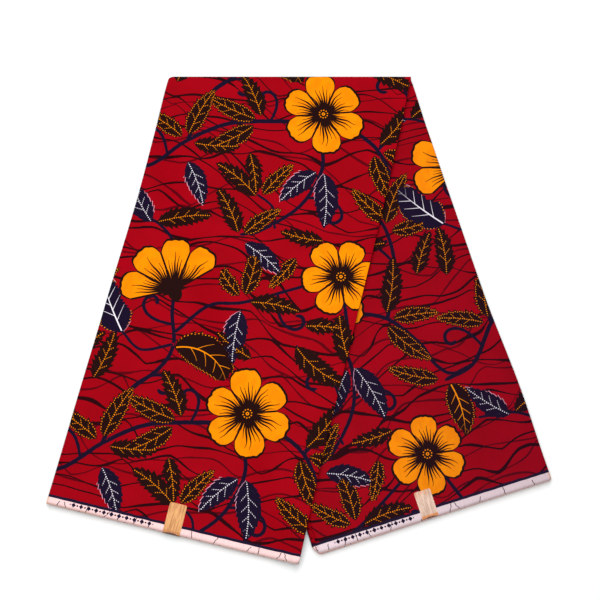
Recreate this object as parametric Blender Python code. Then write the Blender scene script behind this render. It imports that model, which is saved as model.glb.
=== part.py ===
"""Folded length of wax print cotton, laid out as a fanned strip with blank foil seals.

Six yards of 1.20 m wide cloth are lapped yard on yard and folded in three, which makes a strip
of 18 layers, as long as the cloth is wide. The strip is turned over on itself in the middle: the
front stretch leans to the left and lies across the back stretch, which leans to the right, and
the turned end joins the two.
Metres, +Z up, the surface it lies on at z = 0, the turned end towards +Y.
"""
import math

import bpy
import numpy as np
from mathutils import Matrix, Vector

# The pile of layers
LAYER_PITCH = 0.0004            # one layer with the air that it holds
LAYERS = 18
PILE = LAYERS * LAYER_PITCH     # 7.2 mm
LAP = 2 * LAYER_PITCH           # a lap is two layers, joined by a fold
LAPS = LAYERS // 2
THIRD = LAPS // 3               # laps in each third of the strip's fold in three
CLEARANCE = 0.0003              # between neighbouring solids

# The turned end: its outer face reaches FOLD_APEX, and the turn is a half circle
FOLD_APEX = 0.2969
TURN_RADIUS = PILE + CLEARANCE / 2
FOLD_LINE = FOLD_APEX - TURN_RADIUS

# Plan of each stretch: outermost corners at its selvedge end and beside the turned end
FRONT = {
    "end_left": Vector((-0.3050, -0.2550)),
    "end_right": Vector((-0.0010, -0.3280)),
    "fold_left": Vector((-0.1705, FOLD_LINE - CLEARANCE)),
    "fold_right": Vector((0.1440, FOLD_LINE - CLEARANCE)),
    "left_edge": "front left",
    "right_edge": "front right",
}
BACK = {
    "end_left": Vector((0.0160, -0.3155)),
    "end_right": Vector((0.3035, -0.2255)),
    "fold_left": Vector((-0.1705, FOLD_LINE - CLEARANCE)),
    "fold_right": Vector((0.1440, FOLD_LINE - CLEARANCE)),
    "left_edge": "back left",
    "right_edge": "back right",
}

# How far each long edge wanders to the right of its straight line, in mm
WANDER_COLUMNS = ("along", "front left", "front right", "back left", "back right")
WANDER_ROWS = (
    (0.00, 0.0, 0.0, 0.0, 0.0),
    (0.20, 0.3, -2.0, 0.5, 1.6),
    (0.45, 1.4, 0.3, -0.4, -2.2),
    (0.70, 3.0, 1.6, 0.4, -1.4),
    (0.87, 1.5, 0.6, 0.2, -0.4),
    (1.00, 0.0, 0.0, 0.0, 0.0),
)

# How far in from the outline each lap's fold lies, counted up from the front stretch's underside:
# the lowest third of its laps fold on the left, the highest third on the right
LEFT_LAP_INSETS = (0.0040, 0.0020, 0.0005)
RIGHT_LAP_INSETS = (0.0018, 0.0010, 0.0002)
LAP_GROOVE = 0.0020             # depth of the groove between two laps
LAP_ROUNDING = 0.0002           # where a lap's rounded edge starts, up from its groove
LAP_CORNER = 0.0003             # bevel of the pile's top and bottom lap
FAT_RADIUS = THIRD * LAP        # two thirds of the pile turn together here

# The cut ends at the selvedges
END_STEP = 0.0006               # laps end up to twice this far short of the longest
END_STEP_TURN = 2.4             # radians between one lap's step and the next one's
END_GROOVE = 0.0008
END_LIFT = 0.0014               # the ends lift off the surface over END_LIFT_RUN
END_LIFT_RUN = 0.045

# The front stretch steps down off the back one just outside its left edge
DRAPE_START = 0.007
DRAPE_RUN = 0.052
DRAPE_HEIGHT = PILE + CLEARANCE

# Blank foil seals, wrapped round the middle of each end
FOIL = 0.0004
SEAL_WIDTH = 0.0205
SEAL_TOP = 0.0370
SEAL_UNDER = 0.0160
SEAL_PLACES = {"front_foil_seal": 0.498, "back_foil_seal": 0.486}

# Fineness of the lofts
ACROSS_STEPS = 18
ALONG_STEPS = 26
TURN_STEPS = 8
SEAL_ACROSS_STEPS = 4
SEAL_RUN_STEPS = 6
SEAL_CORNER_STEPS = 3

COTTON_RED = (0.40, 0.004, 0.010, 1.0)
COTTON_SHADED_RED = (0.30, 0.003, 0.008, 1.0)
FOIL_GOLD = (0.82, 0.42, 0.17, 1.0)
FOIL_PALE_GOLD = (0.72, 0.50, 0.40, 1.0)


def smooth(t):
    """Ease from 0 to 1."""
    t = min(max(t, 0.0), 1.0)
    return t * t * (3.0 - 2.0 * t)


def wander(edge, along):
    """Sideways drift of a long edge, eased between the rows of the table."""
    column = WANDER_COLUMNS.index(edge)
    for low, high in zip(WANDER_ROWS, WANDER_ROWS[1:]):
        if along <= high[0]:
            share = smooth((along - low[0]) / (high[0] - low[0]))
            return (low[column] + share * (high[column] - low[column])) / 1000.0
    return 0.0


def plan_edges(stretch, along):
    """The left and right edge points at one distance along, 0 at the end and 1 at the turn."""
    left = stretch["end_left"].lerp(stretch["fold_left"], along)
    right = stretch["end_right"].lerp(stretch["fold_right"], along)
    left.x += wander(stretch["left_edge"], along)
    right.x += wander(stretch["right_edge"], along)
    return left, right


def column_length(stretch, across):
    """Length from the selvedge end to the turn, along one column."""
    end = stretch["end_left"].lerp(stretch["end_right"], across)
    turn = stretch["fold_left"].lerp(stretch["fold_right"], across)
    return (turn - end).length


def plan_point(stretch, across, along, side=0.0, back=0.0):
    """Plan position, with side metres towards the right and back metres towards the turn."""
    left, right = plan_edges(stretch, along)
    end = stretch["end_left"].lerp(stretch["end_right"], across)
    turn = stretch["fold_left"].lerp(stretch["fold_right"], across)
    point = left.lerp(right, across)
    return point + (right - left).normalized() * side + (turn - end).normalized() * back


def lap_heights():
    """Heights of the section's points: each lap has a groove, a rounded edge and a groove."""
    heights = []
    for lap in range(LAPS):
        bottom = lap * LAP
        heights += [bottom, bottom + LAP_ROUNDING, bottom + LAP - LAP_ROUNDING]
    return heights + [PILE]


def lap_inset(height, insets, first_lap):
    """Inset of an edge made of single laps: grooves between them, folds at their own inset."""
    place = height / LAP
    lap = min(int(place + 1e-6), LAPS - 1)
    in_groove = abs(place - round(place)) < 1e-6
    if in_groove and 0.0 < height < PILE - 1e-9:
        return max(insets) + LAP_GROOVE
    inset = insets[min(max(lap - first_lap, 0), THIRD - 1)]
    return inset + (LAP_CORNER if in_groove else 0.0)


def fat_inset(height, middle):
    """Inset of the fat fold, where two thirds of the pile turn round together."""
    rise = min(abs(height - middle), FAT_RADIUS)
    return FAT_RADIUS - math.sqrt(FAT_RADIUS ** 2 - rise ** 2)


def left_inset(height):
    """Left side of the front stretch: three laps below, the fat fold above."""
    if height < FAT_RADIUS - 1e-9:
        return lap_inset(height, LEFT_LAP_INSETS, 0)
    return fat_inset(height, 2 * FAT_RADIUS)


def right_inset(height):
    """Right side of the front stretch: the fat fold below, three laps above."""
    if height > 2 * FAT_RADIUS + 1e-9:
        return lap_inset(height, RIGHT_LAP_INSETS, LAPS - THIRD)
    return fat_inset(height, FAT_RADIUS)


def end_inset(height):
    """How far short of the longest lap a point of the selvedge end lies."""
    place = height / LAP
    lap = min(int(place + 1e-6), LAPS - 1)
    step = END_STEP * (1.0 + math.sin(END_STEP_TURN * lap))
    in_groove = abs(place - round(place)) < 1e-6 and 0.0 < height < PILE - 1e-9
    return 2 * END_STEP + END_GROOVE if in_groove else step


def end_lift(distance):
    """Height of the underside near a selvedge end, by the distance from it."""
    return END_LIFT * (1.0 - smooth(distance / END_LIFT_RUN))


def drape(point):
    """Height of the front stretch's underside over the back stretch and beside it."""
    edge = (BACK["fold_left"] - BACK["end_left"]).normalized()
    offset = point - BACK["end_left"]
    outside = edge.x * offset.y - edge.y * offset.x
    return DRAPE_HEIGHT * (1.0 - smooth((outside - DRAPE_START) / DRAPE_RUN))


def front_point(across, distance, height, side=0.0):
    """A point of the front stretch, at a distance from its selvedge end."""
    length = column_length(FRONT, across)
    along = min(max(distance / length, 0.0), 1.0)
    plan = plan_point(FRONT, across, along, side, distance - along * length)
    return Vector((plan.x, plan.y, drape(plan) + end_lift(distance) + height))


def back_point(across, distance, height, side=0.0):
    """A point of the back stretch, at a distance from its selvedge end."""
    length = column_length(BACK, across)
    along = min(max(distance / length, 0.0), 1.0)
    plan = plan_point(BACK, across, along, side, distance - along * length)
    return Vector((plan.x, plan.y, end_lift(distance) + height))


def turn_point(across, angle, height, side=0.0):
    """A point of the turned end, angle 0 at the front stretch and pi at the back one."""
    plan = plan_point(FRONT, across, 1.0, side)
    radius = CLEARANCE / 2 + height
    centre = PILE + CLEARANCE / 2
    return Vector((plan.x, FOLD_LINE + radius * math.sin(angle),
                   centre + radius * math.cos(angle)))


def skin_faces(counts, index):
    """Quads over the six sides of a block of cells, all facing out."""
    cells_i, cells_j, cells_k = counts
    faces = []
    for i in range(cells_i):
        for j in range(cells_j):
            for k, order in ((0, 1), (cells_k, -1)):
                quad = (index[i, j, k], index[i, j + 1, k],
                        index[i + 1, j + 1, k], index[i + 1, j, k])
                faces.append(quad[::order])
    for i in range(cells_i):
        for k in range(cells_k):
            for j, order in ((0, 1), (cells_j, -1)):
                quad = (index[i, j, k], index[i + 1, j, k],
                        index[i + 1, j, k + 1], index[i, j, k + 1])
                faces.append(quad[::order])
    for j in range(cells_j):
        for k in range(cells_k):
            for i, order in ((0, 1), (cells_i, -1)):
                quad = (index[i, j, k], index[i, j, k + 1],
                        index[i, j + 1, k + 1], index[i, j + 1, k])
                faces.append(quad[::order])
    return faces


def loft_block(name, counts, place, material, collection):
    """One closed solid, lofted through the points that place gives for the block's outer grid."""
    cells_i, cells_j, cells_k = counts
    index = {}
    points = []
    for i in range(cells_i + 1):
        for j in range(cells_j + 1):
            for k in range(cells_k + 1):
                if i in (0, cells_i) or j in (0, cells_j) or k in (0, cells_k):
                    index[i, j, k] = len(points)
                    points.append(place(i, j, k))
    mesh = bpy.data.meshes.new(name)
    mesh.from_pydata(points, [], skin_faces(counts, index))
    mesh.materials.append(material)
    mesh.shade_smooth()
    mesh.set_sharp_from_angle(angle=math.radians(50.0))
    solid = bpy.data.objects.new(name, mesh)
    collection.objects.link(solid)
    return solid


def principled(name, colour, roughness, metallic):
    """A plain Principled material."""
    material = bpy.data.materials.new(name)
    material.use_nodes = True
    shader = material.node_tree.nodes["Principled BSDF"]
    shader.inputs["Base Color"].default_value = colour
    shader.inputs["Roughness"].default_value = roughness
    shader.inputs["Metallic"].default_value = metallic
    material.diffuse_color = colour
    return material


def side_shift(i, height):
    """Shift to the right that brings an edge point in from the outline, 0 between the edges."""
    if i == 0:
        return left_inset(height)
    return -right_inset(height) if i == ACROSS_STEPS else 0.0


def end_distance(j, length, height):
    """Distance from the selvedge end of one row of a stretch."""
    inset = end_inset(height) if j == 0 else 0.0
    return inset + length * j / ALONG_STEPS


def make_front_stretch(collection):
    """The front stretch, whose left side steps down off the back one."""
    heights = lap_heights()

    def place(i, j, k):
        across = i / ACROSS_STEPS
        side = side_shift(i, heights[k])
        distance = end_distance(j, column_length(FRONT, across), heights[k])
        return front_point(across, distance, heights[k], side)

    counts = (ACROSS_STEPS, ALONG_STEPS, len(heights) - 1)
    material = principled("printed cotton, front", COTTON_RED, 0.62, 0.0)
    return loft_block("front_stretch", counts, place, material, collection)


def make_turned_end(collection):
    """The turned end, which carries every layer round from the front stretch to the back one."""
    heights = lap_heights()

    def place(i, j, k):
        angle = math.pi * j / TURN_STEPS
        return turn_point(i / ACROSS_STEPS, angle, heights[k], side_shift(i, heights[k]))

    counts = (ACROSS_STEPS, TURN_STEPS, len(heights) - 1)
    material = principled("printed cotton, turned end", COTTON_RED, 0.62, 0.0)
    return loft_block("turned_end", counts, place, material, collection)


def make_back_stretch(collection):
    """The back stretch, which is the same strip turned over, so its pile is upside down."""
    heights = lap_heights()

    def place(i, j, k):
        across = i / ACROSS_STEPS
        pile_height = PILE - heights[k]
        side = side_shift(i, pile_height)
        distance = end_distance(j, column_length(BACK, across), pile_height)
        return back_point(across, distance, heights[k], side)

    counts = (ACROSS_STEPS, ALONG_STEPS, len(heights) - 1)
    material = principled("printed cotton, back", COTTON_SHADED_RED, 0.62, 0.0)
    return loft_block("back_stretch", counts, place, material, collection)


def seal_run():
    """Stations round the end of the pile: distance, height, and the way out from the pile."""
    run = []
    for step in range(SEAL_RUN_STEPS + 1):
        run.append((SEAL_TOP * (1.0 - step / SEAL_RUN_STEPS), PILE, 0.5 * math.pi))
    for step in range(1, SEAL_CORNER_STEPS + 1):
        run.append((0.0, PILE, 0.5 * math.pi * (1.0 + step / SEAL_CORNER_STEPS)))
    for step in range(SEAL_CORNER_STEPS + 1):
        run.append((0.0, 0.0, math.pi + 0.5 * math.pi * step / SEAL_CORNER_STEPS))
    for step in range(1, SEAL_CORNER_STEPS + 1):
        run.append((SEAL_UNDER * step / SEAL_CORNER_STEPS, 0.0, 1.5 * math.pi))
    return run


def make_seal(name, stretch, point_on, colour, collection):
    """A foil band whose points are those of the pile's end, moved out by its clearance."""
    run = seal_run()

    def place(i, j, k):
        distance, height, way = run[j]
        out = CLEARANCE + FOIL * (1 - k)
        middle = SEAL_PLACES[name]
        side = SEAL_WIDTH * (i / SEAL_ACROSS_STEPS - 0.5)
        width = (stretch["end_right"] - stretch["end_left"]).length
        return point_on(middle + side / width, distance + out * math.cos(way),
                        height + out * math.sin(way))

    counts = (SEAL_ACROSS_STEPS, len(run) - 1, 1)
    material = principled(name.replace("_", " "), colour, 0.35, 0.9)
    return loft_block(name, counts, place, material, collection)


def settle_on_origin(solids):
    """Put the origin on the surface that the cloth lies on, under the middle of its box."""
    points = np.array([vertex.co for solid in solids for vertex in solid.data.vertices])
    middle = (points.min(axis=0) + points.max(axis=0)) / 2
    shift = Matrix.Translation((-middle[0], -middle[1], 0.0))
    for solid in solids:
        solid.data.transform(shift)


def main():
    for thing in list(bpy.data.objects):
        bpy.data.objects.remove(thing, do_unlink=True)
    collection = bpy.data.collections.new("wax print fabric")
    bpy.context.scene.collection.children.link(collection)
    solids = [
        make_front_stretch(collection),
        make_turned_end(collection),
        make_back_stretch(collection),
        make_seal("front_foil_seal", FRONT, front_point, FOIL_GOLD, collection),
        make_seal("back_foil_seal", BACK, back_point, FOIL_PALE_GOLD, collection),
    ]
    settle_on_origin(solids)


main()
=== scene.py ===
"""The looks of a folded length of wax print cotton, laid flat and fanned, with blank foil seals."""
import math
from functools import partial

import bpy
import numpy as np
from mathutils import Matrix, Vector


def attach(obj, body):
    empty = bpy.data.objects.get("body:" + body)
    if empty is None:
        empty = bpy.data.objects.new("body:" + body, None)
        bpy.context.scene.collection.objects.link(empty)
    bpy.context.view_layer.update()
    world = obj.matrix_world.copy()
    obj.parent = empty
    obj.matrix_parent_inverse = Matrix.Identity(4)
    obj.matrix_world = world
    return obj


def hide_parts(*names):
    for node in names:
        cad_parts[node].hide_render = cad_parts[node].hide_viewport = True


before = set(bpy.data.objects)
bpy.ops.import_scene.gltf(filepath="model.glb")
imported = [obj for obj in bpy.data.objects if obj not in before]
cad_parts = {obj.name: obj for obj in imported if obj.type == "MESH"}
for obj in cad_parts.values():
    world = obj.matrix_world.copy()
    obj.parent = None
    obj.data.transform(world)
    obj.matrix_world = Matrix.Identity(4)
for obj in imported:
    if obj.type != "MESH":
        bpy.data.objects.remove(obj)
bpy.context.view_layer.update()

# The pile of layers, as in the CAD model
PITCH = 0.0004
LAYERS = 18
PILE = PITCH * LAYERS
CLEARANCE = 0.0003  # between the front stretch and the back one under it, up to their turn
CLOTH = 0.00028  # thickness of the cotton itself
WIDTH = 0.305  # nominal width of the strip
TURN_RADIUS = PILE + CLEARANCE / 2  # of the turned end's outside
FOLD_APEX = 0.2969  # how far up the plan the turned end reaches
FOLD_LINE = FOLD_APEX - TURN_RADIUS
PLAN_SHIFT = np.array((0.000717, 0.015548))  # from the drawing's own axes to the part's origin

# Each stretch's corners in plan, and its long edges' columns in the table of their drift
AT_TURN = {"fold_left": (-0.1705, FOLD_LINE), "fold_right": (0.1440, FOLD_LINE)}
FRONT = {**AT_TURN, "end_left": (-0.3050, -0.2550), "end_right": (-0.0010, -0.3280),
         "left_edge": 1, "right_edge": 2}
BACK = {**AT_TURN, "end_left": (0.0160, -0.3155), "end_right": (0.3035, -0.2255),
        "left_edge": 3, "right_edge": 4}

# Drift of the long edges to the right, in mm: along, front left, front right, back left, back right
WANDER = np.array((
    (0.00, 0.0, -0.6, 1.0, 0.0),
    (0.20, 0.3, -2.0, 0.5, 1.6),
    (0.45, 1.4, 0.3, -0.4, -2.2),
    (0.70, 3.0, 1.6, 0.4, -1.4),
    (0.87, 1.5, 0.6, 0.2, -0.4),
    (1.00, 0.0, -1.4, 0.0, 1.3),
))
FRONT_SPLAY, BACK_SPLAY = WANDER[-1, 2] / 1000, WANDER[-1, 4] / 1000  # of the right edges at the fold lines

TURN_CORNER = 0.0062  # rounding of the turned end's left corner, in plan
END_LIFT = 0.0014  # how far each end lifts, and over what run
END_LIFT_RUN = 0.045
DRAPE_START = 0.007  # how far past the back stretch's edge the front one starts down, and its run
DRAPE_RUN = 0.052
DRAPE_HEIGHT = PILE + CLEARANCE
SWELL_HEIGHT = 0.0006

# Soft waves of the pile's top: share of their height, radians a metre along x and along y, phase
SWELLS = ((0.45, 31.0, 9.0, 0.7), (0.35, -23.0, 17.0, 2.1), (0.20, 12.0, 47.0, 4.0))

# Fineness of the cloth's grid
CELL = 0.0036
STRETCH_ROWS = 170
TURN_ROWS = 14
END_ROWS = 7  # rows at each end where every layer runs right across
HEM_DEPTH = 0.014  # how far the cloth of a side fold reaches into the pile between the ends
ROW_SHARES = np.linspace(0.0, 1.0, STRETCH_ROWS + 1)


def smooth(t):
    t = np.clip(t, 0.0, 1.0)
    return t * t * (3.0 - 2.0 * t)


def wander(edge, along):
    """Sideways drift of one long edge, eased between the rows of the table."""
    row = np.clip(np.searchsorted(WANDER[:, 0], along, side="right") - 1, 0, len(WANDER) - 2)
    low, high = WANDER[row], WANDER[row + 1]
    share = smooth((along - low[..., 0]) / (high[..., 0] - low[..., 0]))
    return (low[..., edge] + share * (high[..., edge] - low[..., edge])) / 1000.0


def between(stretch, first, second, share):
    """Plan points at a share of the way from one corner of a stretch to another."""
    share = np.asarray(share)[..., None]
    return np.array(stretch[first]) * (1 - share) + np.array(stretch[second]) * share


def column(stretch, across):
    """The way from a stretch's end to the turn, at a place across it."""
    turn = between(stretch, "fold_left", "fold_right", across)
    return turn - between(stretch, "end_left", "end_right", across)


def column_length(stretch, across):
    return np.linalg.norm(column(stretch, across), axis=-1)


def plan_points(stretch, across, along, back):
    """Plan positions for arrays of places across and along, moved back metres to the turn."""
    across, along, back = np.broadcast_arrays(across, along, back)
    left = between(stretch, "end_left", "fold_left", along)
    right = between(stretch, "end_right", "fold_right", along)
    left[..., 0] += wander(stretch["left_edge"], along)
    right[..., 0] += wander(stretch["right_edge"], along)
    way = column(stretch, across) / column_length(stretch, across)[..., None]
    share = across[..., None]
    return left * (1 - share) + right * share + way * back[..., None]


def beside_back(plan):
    """Distance outside the back stretch's left edge."""
    edge = column(BACK, 0.0) / column_length(BACK, 0.0)
    offset = plan - np.array(BACK["end_left"])
    return edge[0] * offset[..., 1] - edge[1] * offset[..., 0]


def drape(plan):
    return DRAPE_HEIGHT * (1.0 - smooth((beside_back(plan) - DRAPE_START) / DRAPE_RUN))


def end_lift(from_end):
    return END_LIFT * (1.0 - smooth(from_end / END_LIFT_RUN))


def swell(plan, height):
    """Soft uneven rise of the pile, none at its underside."""
    wave = sum(share * np.sin(along_x * plan[..., 0] + along_y * plan[..., 1] + phase)
               for share, along_x, along_y, phase in SWELLS)
    return SWELL_HEIGHT * (1.0 + wave) * height / PILE


def stretch_points(stretch, x, share, height, end_inset):
    """Points of a stretch; x in metres from the left edge, share 0 at the end and 1 at the turn."""
    back = end_inset * (1.0 - share)
    plan = plan_points(stretch, x / WIDTH, share, back)
    from_end = column_length(stretch, x / WIDTH) * share + back
    lifted = drape(plan) if stretch is FRONT else 0.0
    return np.dstack((plan, lifted + end_lift(from_end) + height + swell(plan, height)))


def turn_points(x, angle, height):
    """Points of the turned end, whose left corner is rounded."""
    plan = plan_points(FRONT, x / WIDTH, np.ones_like(x * angle), 0.0)
    short = np.clip(TURN_CORNER - x, 0.0, TURN_CORNER)
    corner_drop = TURN_CORNER - np.sqrt(TURN_CORNER ** 2 - short ** 2)
    splay = np.where(angle < math.pi / 2, FRONT_SPLAY, BACK_SPLAY) * (1 - np.sin(angle))
    plan[..., 0] += x / WIDTH * (splay - FRONT_SPLAY)
    plan[..., 1] += (CLEARANCE / 2 + height) * np.sin(angle) * (1 - corner_drop / TURN_RADIUS)
    z = PILE + CLEARANCE / 2 + (CLEARANCE / 2 + height) * np.cos(angle)
    return np.dstack((plan, z))


def row_stations(step=1, skip=0):
    """Rows from the front end over the turn to the back end: zone 0, 1 or 2 and the value there."""
    keep = sorted({*range(skip, STRETCH_ROWS + 1, step), STRETCH_ROWS})
    front = [(0, ROW_SHARES[i]) for i in keep]
    turn = [(1, math.pi * i / TURN_ROWS) for i in range(1, TURN_ROWS)]
    return front + turn + [(2, share) for _, share in reversed(front)]


def end_stations(zone):
    rows = [(zone, share) for share in ROW_SHARES[:END_ROWS + 1]]
    return rows if zone == 0 else rows[::-1]


def carry(rows, x, height, insets):
    """The cloth's grid in space, with its distance from the front end and from each end."""
    zone = np.array([row[0] for row in rows])[:, None]
    value = np.array([row[1] for row in rows])[:, None]
    x, height = x[None, :], height[None, :]
    front_inset, back_inset = insets[0][None, :], insets[1][None, :]
    share = np.where(zone == 1, 1.0, value)
    angle = np.where(zone == 1, value, 0.0)
    front = stretch_points(FRONT, x, share, height, front_inset)
    back = stretch_points(BACK, x, share, PILE - height, back_inset)
    turned = turn_points(x, angle, height)
    points = np.where(zone[..., None] == 0, front, np.where(zone[..., None] == 1, turned, back))
    points[..., :2] += PLAN_SHIFT
    front_length = column_length(FRONT, x / WIDTH)
    back_length = column_length(BACK, x / WIDTH)
    arc = CLEARANCE / 2 + height
    from_front = np.where(zone == 0, front_length * share + front_inset * (1 - share),
                          np.where(zone == 1, front_length + arc * angle,
                                   front_length + math.pi * arc + (back_length - back_inset) * (1 - share)))
    total = front_length + math.pi * arc + back_length
    return points, from_front, total - from_front


def layer_height(layer):
    return (layer + 0.5) * PITCH


# How far in from the outline the small folds and free ends lie, by the two layers that they join
LEFT_INSETS = {(0, 0): 0.0056, (1, 2): 0.0038, (3, 4): 0.0019, (5, 5): 0.0008}
RIGHT_INSETS = {(12, 13): 0.0018, (14, 15): 0.0010, (16, 17): 0.0002}
SMALL_FOLD_STEPS = 5
WIDE_FOLD_STEPS = 6  # and one more for each layer of its radius
WIDE_FOLD_CENTRE = PILE / 3  # in from the strip's edge


def fold_turn(side, low, high):
    """Points (x, h) of the fold that joins two layers, from the lower to the higher one."""
    small = (LEFT_INSETS if side == "left" else RIGHT_INSETS).get((low, high))
    radius = (layer_height(high) - layer_height(low)) / 2
    middle = (layer_height(high) + layer_height(low)) / 2
    centre, steps = WIDE_FOLD_CENTRE, WIDE_FOLD_STEPS + int(radius / PITCH)
    if small is not None:
        centre, steps = small + radius + CLOTH / 2, SMALL_FOLD_STEPS
    angles = np.linspace(-math.pi / 2, math.pi / 2, steps + 1)
    x = centre - radius * np.cos(angles)
    if side == "right":
        x = WIDTH - x
    return np.stack((x, middle + radius * np.sin(angles)), axis=1)


# The cloth's way through the pile: each layer with the side it is left on and the layer it meets
ROUTE = ((0, "right", 11), (11, "left", 12), (12, "right", 13), (13, "left", 10),
         (10, "right", 1), (1, "left", 2), (2, "right", 9), (9, "left", 14), (14, "right", 15),
         (15, "left", 8), (8, "right", 3), (3, "left", 4), (4, "right", 7), (7, "left", 16),
         (16, "right", 17), (17, "left", 6), (6, "right", 5))


def turn_between(side, layer, other):
    points = fold_turn(side, min(layer, other), max(layer, other))
    return points if layer < other else points[::-1]


def flat_run(layer, start, stop):
    steps = max(1, int(round(abs(stop - start) / CELL)))
    x = np.linspace(start, stop, steps + 1)
    return np.stack((x, np.full_like(x, layer_height(layer))), axis=1)


def join_runs(runs):
    """One line from several that follow each other, without doubled points."""
    points = [runs[0]]
    for run in runs[1:]:
        points.append(run[1:] if np.allclose(run[0], points[-1][-1], atol=1e-9) else run)
    return np.concatenate(points)


def hem_end(side, layer, other):
    """How far in the hems of a fold reach, in metres from the strip's left edge."""
    return turn_between(side, layer, other)[0, 0] + (HEM_DEPTH if side == "left" else -HEM_DEPTH)


def way_through(start, folds, stop):
    """The cloth's line from a place before some folds of its route to a place after them."""
    runs = []
    for layer, side, other in folds:
        turn = turn_between(side, layer, other)
        runs += [flat_run(layer, start, turn[0, 0]), turn]
        start = turn[-1, 0]
    return join_runs([*runs, flat_run(other, start, stop)])


# The route's folds at the back face, inside the pile, at the front face, and at the free end inside
BACK_FOLDS, INSIDE_FOLDS, FRONT_FOLDS, LAST_FOLDS = ROUTE[:1], ROUTE[1:14], ROUTE[14:16], ROUTE[16:]


def front_face_line():
    """Layer 17, which shows on the front stretch, with the fold on each side of it."""
    return way_through(hem_end("right", 16, 17), FRONT_FOLDS, hem_end("left", 17, 6))


def back_face_line():
    """Layer 0, which shows on the back stretch, from the cloth's free end to its first fold."""
    return way_through(LEFT_INSETS[0, 0], BACK_FOLDS, hem_end("right", 0, 11))


def inner_lines():
    """Every layer between those two faces, right across, for the ends of the pile."""
    return [way_through(hem_end("right", 0, 11), INSIDE_FOLDS, hem_end("right", 16, 17)),
            way_through(hem_end("left", 17, 6), LAST_FOLDS, LEFT_INSETS[5, 5])]


def hem_lines():
    """The inner folds with a hem's depth of the layers that they join, for between the ends."""
    lines = [way_through(hem_end(side, layer, other), [(layer, side, other)], hem_end(side, layer, other))
             for layer, side, other in INSIDE_FOLDS + LAST_FOLDS]
    return lines + [flat_run(5, LEFT_INSETS[5, 5] + HEM_DEPTH, LEFT_INSETS[5, 5])]


def run_along(line):
    """Each point's distance from the start of a line, along it."""
    return np.concatenate(([0.0], np.cumsum(np.linalg.norm(np.diff(line, axis=0), axis=1))))


def both_faces(line):
    """The closed section of cloth round a centre line, and each point's place along the line."""
    step = np.gradient(line, axis=0)
    step /= np.linalg.norm(step, axis=1)[:, None]
    normal = np.stack((-step[:, 1], step[:, 0]), axis=1) * CLOTH / 2
    run = run_along(line)
    loop = np.concatenate((line + normal, (line - normal)[::-1]))
    return loop, np.concatenate((run, run[::-1]))


END_STEP = 0.0006  # laps end up to twice this far short of the longest
END_STEP_TURN = 2.4  # radians between one lap's step and the next one's
CORNER_LEAST = 0.0022  # rounding in plan of a pile's end corners, at its lowest layer
CORNER_MOST = {"front": (0.0008, 0.0040), "back": (0.0022, 0.0036)}  # at its top layer, left and right
CORNER_STEPS = 4  # sizes that the roundings between those two take
BACK_REACH = 0.0010  # how far the back pile's layers run past the line between its end corners
LEFT_REACH = 0.0014  # and its lower layers at the left, where they spread
WORN_WIDTH = 0.0074  # its left corner, worn off slantwise: width, depth and roundness
WORN_DEPTH = 0.0104
WORN_POWER = 1.25


def end_insets(stretch, x, height):
    """How far short of the longest layer each one ends, by its height in the pile."""
    lap = np.floor(np.clip(height / (2 * PITCH), 0, LAYERS / 2 - 1))
    level = lap / (LAYERS / 2 - 1)
    inset = END_STEP * (1.0 + np.sin(END_STEP_TURN * lap))
    tops = CORNER_MOST["front"]
    if stretch is BACK:
        inset = inset - BACK_REACH - LEFT_REACH * level * (1.0 - x / WIDTH) ** 2
        inset = inset + WORN_DEPTH * np.clip(1.0 - x / WORN_WIDTH, 0.0, 1.0) ** WORN_POWER
        level = 1.0 - level
        tops = CORNER_MOST["back"]
    step = np.floor(level * (CORNER_STEPS - 0.01)) / (CORNER_STEPS - 1)
    for top, beside in zip(tops, (x, WIDTH - x)):
        radius = min(CORNER_LEAST, top) + (top - min(CORNER_LEAST, top)) * step
        short = np.clip(radius - beside, 0.0, radius)
        inset = inset + radius - np.sqrt(radius ** 2 - short ** 2)
    return inset


def grid_faces(index):
    """Four-cornered faces between the rows and columns of a grid of points."""
    return np.stack((index[:-1, :-1], index[:-1, 1:], index[1:, 1:], index[1:, :-1]), axis=-1).reshape(-1, 4)


def sweep(line, rows, print_start=0.0, print_way=1.0, from_back=False):
    """Points, faces and corner values of the cloth along one line and over some rows."""
    loop, run = both_faces(line)
    x, height = loop[:, 0], loop[:, 1]
    insets = [end_insets(stretch, x, height) for stretch in (FRONT, BACK)]
    points, from_front, from_end = carry(rows, x, height, insets)
    count_rows, count = points.shape[:2]
    print_x = np.broadcast_to(print_start + print_way * run, (count_rows, count))
    print_y = from_end if from_back else from_front
    edge = np.minimum(from_front, from_end)
    index = np.arange(count_rows * count).reshape(count_rows, count)
    faces = [grid_faces(np.concatenate((index, index[:, :1]), axis=1))]
    for row, flip in ((0, True), (count_rows - 1, False)):
        top = index[row, :count // 2]
        under = index[row, count // 2:][::-1]
        cap = np.stack((top[:-1], top[1:], under[1:], under[:-1]), axis=-1)
        faces.append(cap[:, ::-1] if flip else cap)
    values = np.stack((print_x, print_y, edge), axis=-1).reshape(-1, 3)
    return points.reshape(-1, 3), np.concatenate(faces), values


# The printed design: its tile, its stems and its motifs, in metres across and up from the selvedge
TILE = np.array((0.36, 0.40))
CM = 0.01
CLAIM = 0.0050  # how far beyond its outline a motif takes the cloth's cells
BAND_DEPTH = 0.0088  # the white band's depth, and the indigo line's along it
BAND_LINE = 0.0034
STEM_STEP = 0.0025
HOOK_STEPS = 40
FAN_HALF = 1.45  # half the angle that a side flower takes, and its cup's radius and drop
FAN_CUP = 0.011
FAN_CUP_DROP = 0.004

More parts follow.
